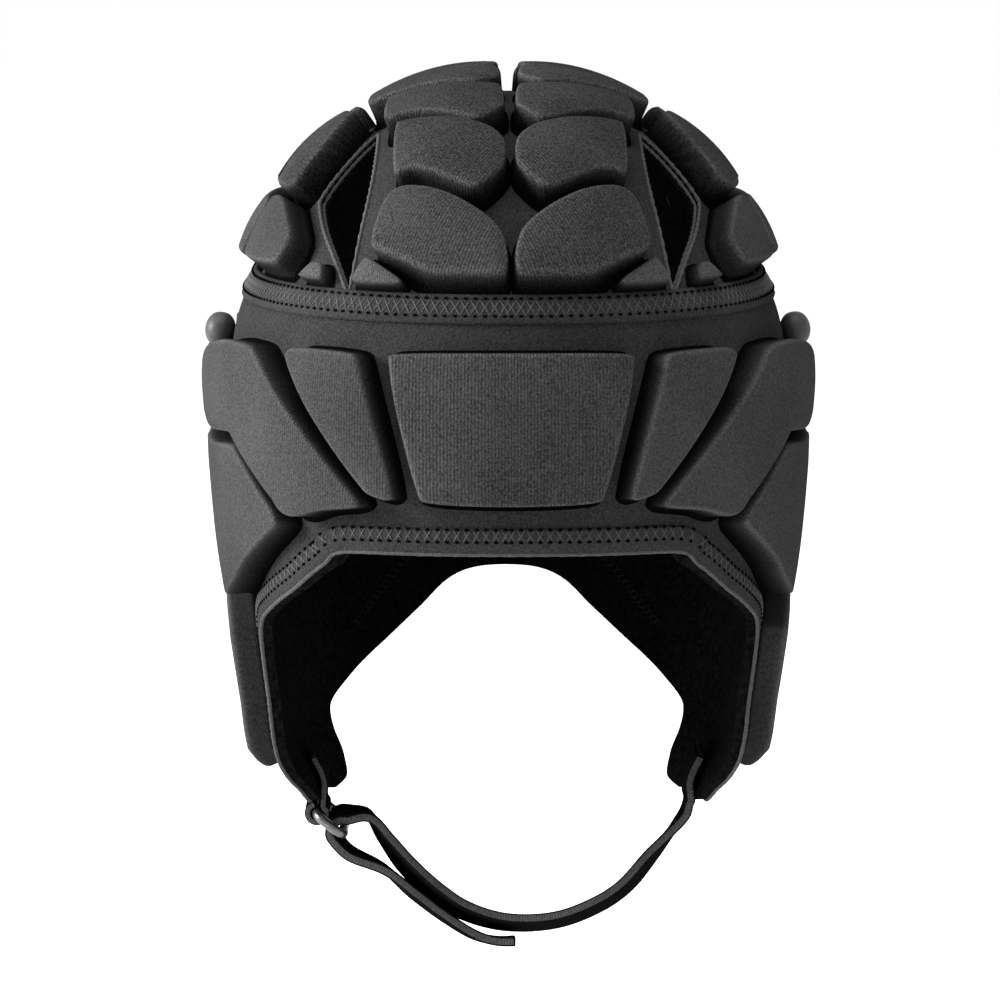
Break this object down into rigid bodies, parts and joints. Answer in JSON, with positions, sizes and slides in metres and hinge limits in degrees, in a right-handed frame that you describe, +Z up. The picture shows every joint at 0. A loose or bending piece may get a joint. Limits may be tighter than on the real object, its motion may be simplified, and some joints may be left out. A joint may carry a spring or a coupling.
{
  "type": "rugby scrum cap",
  "caption": "Padded cloth head guard with foam pads over the crown, band and ear flaps, side vents and a chin strap folded back through a wire ring.",
  "frame": {"origin": "top of the head hollow, on the inner face of the crown, where a head carries the cap", "axes": "+Z up, the face looks along -Y, and +X is the side on the right of the picture"},
  "size_m": [0.1758, 0.2212, 0.2611],
  "materials": {
    "shell_cloth": "matte knitted stretch cloth",
    "pad_cloth": "matte knitted cloth over foam",
    "side_pad_cloth": "matte knitted cloth over foam",
    "tape_cloth": "matte stitched tape",
    "webbing": "matte woven webbing",
    "button_foam": "satin moulded foam",
    "ring_metal": "satin dark coated wire"
  },
  "bodies": {
    "root": {"crown_shell": "shell_cloth", "band_shell": "shell_cloth", "seam_tape": "tape_cloth", "crown_pad_1_right": "pad_cloth", "crown_pad_1_left": "pad_cloth", "crown_pad_2_right": "pad_cloth", "crown_pad_2_left": "pad_cloth", "crown_pad_3_right": "pad_cloth", "crown_pad_3_left": "pad_cloth", "crown_pad_4_right": "pad_cloth", "crown_pad_4_left": "pad_cloth", "crown_pad_5_right": "pad_cloth", "crown_pad_5_left": "pad_cloth", "crown_pad_6_right": "pad_cloth", "crown_pad_6_left": "pad_cloth", "crown_pad_7_right": "pad_cloth", "crown_pad_7_left": "pad_cloth", "crown_pad_8_right": "pad_cloth", "crown_pad_8_left": "pad_cloth", "upper_side_pad_1_right": "pad_cloth", "upper_side_pad_1_left": "pad_cloth", "upper_side_pad_2_right": "pad_cloth", "upper_side_pad_2_left": "pad_cloth", "upper_side_pad_3_right": "pad_cloth", "upper_side_pad_3_left": "pad_cloth", "forehead_pad": "pad_cloth", "nape_pad": "pad_cloth", "corner_pad_front_right": "side_pad_cloth", "corner_pad_front_left": "side_pad_cloth", "corner_pad_side_right": "side_pad_cloth", "corner_pad_side_left": "side_pad_cloth", "lower_side_pad_1_right": "side_pad_cloth", "lower_side_pad_1_left": "side_pad_cloth", "lower_side_pad_2_right": "side_pad_cloth", "lower_side_pad_2_left": "side_pad_cloth", "lower_side_pad_3_right": "side_pad_cloth", "lower_side_pad_3_left": "side_pad_cloth", "wedge_pad_right": "side_pad_cloth", "wedge_pad_left": "side_pad_cloth", "diagonal_pad_right": "side_pad_cloth", "diagonal_pad_left": "side_pad_cloth", "temple_pad_right": "side_pad_cloth", "temple_pad_left": "side_pad_cloth", "cheek_pad_right": "side_pad_cloth", "cheek_pad_left": "side_pad_cloth", "ear_pad_right": "side_pad_cloth", "ear_pad_left": "side_pad_cloth", "ear_back_pad_right": "side_pad_cloth", "ear_back_pad_left": "side_pad_cloth", "nape_side_pad_right": "side_pad_cloth", "nape_side_pad_left": "side_pad_cloth", "side_button_right": "button_foam", "side_button_left": "button_foam", "strap_ring": "ring_metal", "chin_strap": "webbing", "ring_tab": "webbing"}
  },
  "joints": []
}
